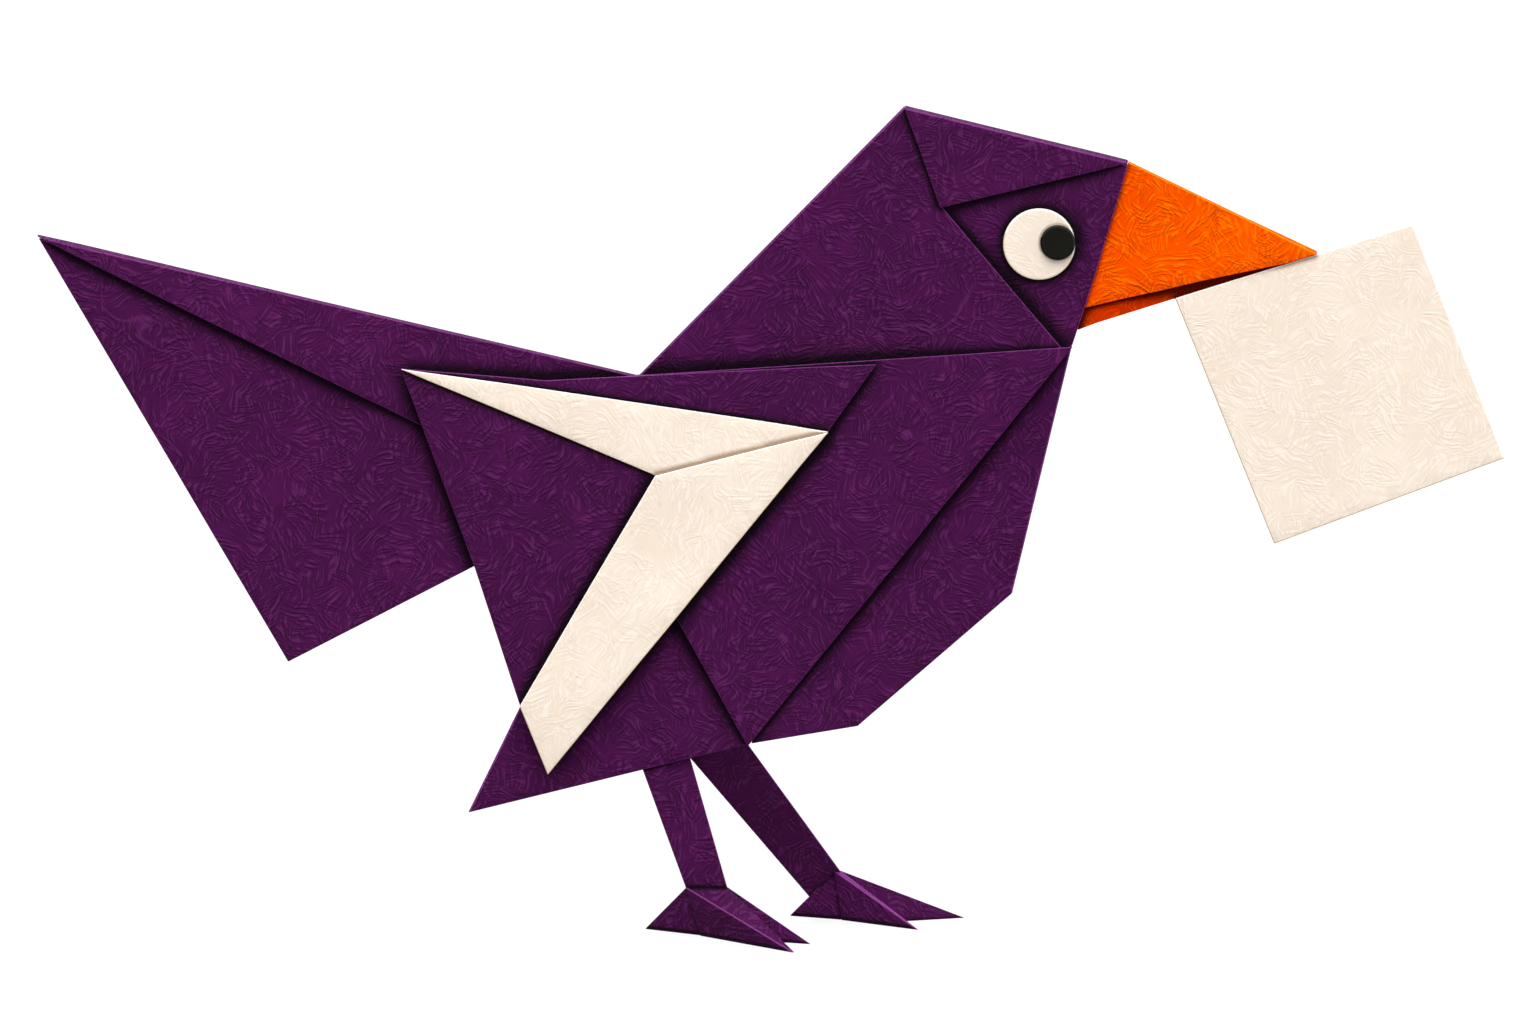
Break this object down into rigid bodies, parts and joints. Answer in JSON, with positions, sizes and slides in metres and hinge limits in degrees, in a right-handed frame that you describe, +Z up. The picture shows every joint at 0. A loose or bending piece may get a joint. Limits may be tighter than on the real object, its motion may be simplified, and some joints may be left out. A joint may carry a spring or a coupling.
{
  "type": "folded paper bird",
  "caption": "Standing bird folded and cut from coloured paper, with a cream wing chevron and a blank card at its beak.",
  "frame": {"origin": "on the floor, under the middle of the bird's box", "axes": "+Z up, +X towards the beak, -Y towards the near side"},
  "size_m": [0.2932, 0.0399, 0.1681],
  "materials": {
    "purple_paper": "embossed handmade paper, matt",
    "orange_paper": "embossed handmade paper, matt",
    "red_orange_paper": "embossed handmade paper, matt",
    "cream_paper": "soft mottled paper, matt",
    "cream_card": "soft mottled card, matt",
    "eye_paper": "crumpled cream paper",
    "black_paper": "matt black paper"
  },
  "bodies": {
    "root": {"breast": "purple_paper", "card": "cream_card", "crest": "purple_paper", "eye_far": "eye_paper", "eye_near": "eye_paper", "face": "purple_paper", "flank_far": "purple_paper", "flank_near": "purple_paper", "foot_far": "purple_paper", "foot_near": "purple_paper", "leg_far": "purple_paper", "leg_near": "purple_paper", "lower_band_far": "cream_paper", "lower_band_near": "cream_paper", "lower_beak": "red_orange_paper", "neck": "purple_paper", "pupil_far": "black_paper", "pupil_near": "black_paper", "rump": "purple_paper", "tail": "purple_paper", "tail_flap": "purple_paper", "upper_band_far": "cream_paper", "upper_band_near": "cream_paper", "upper_beak": "orange_paper", "wing_far": "purple_paper", "wing_near": "purple_paper"}
  },
  "joints": []
}
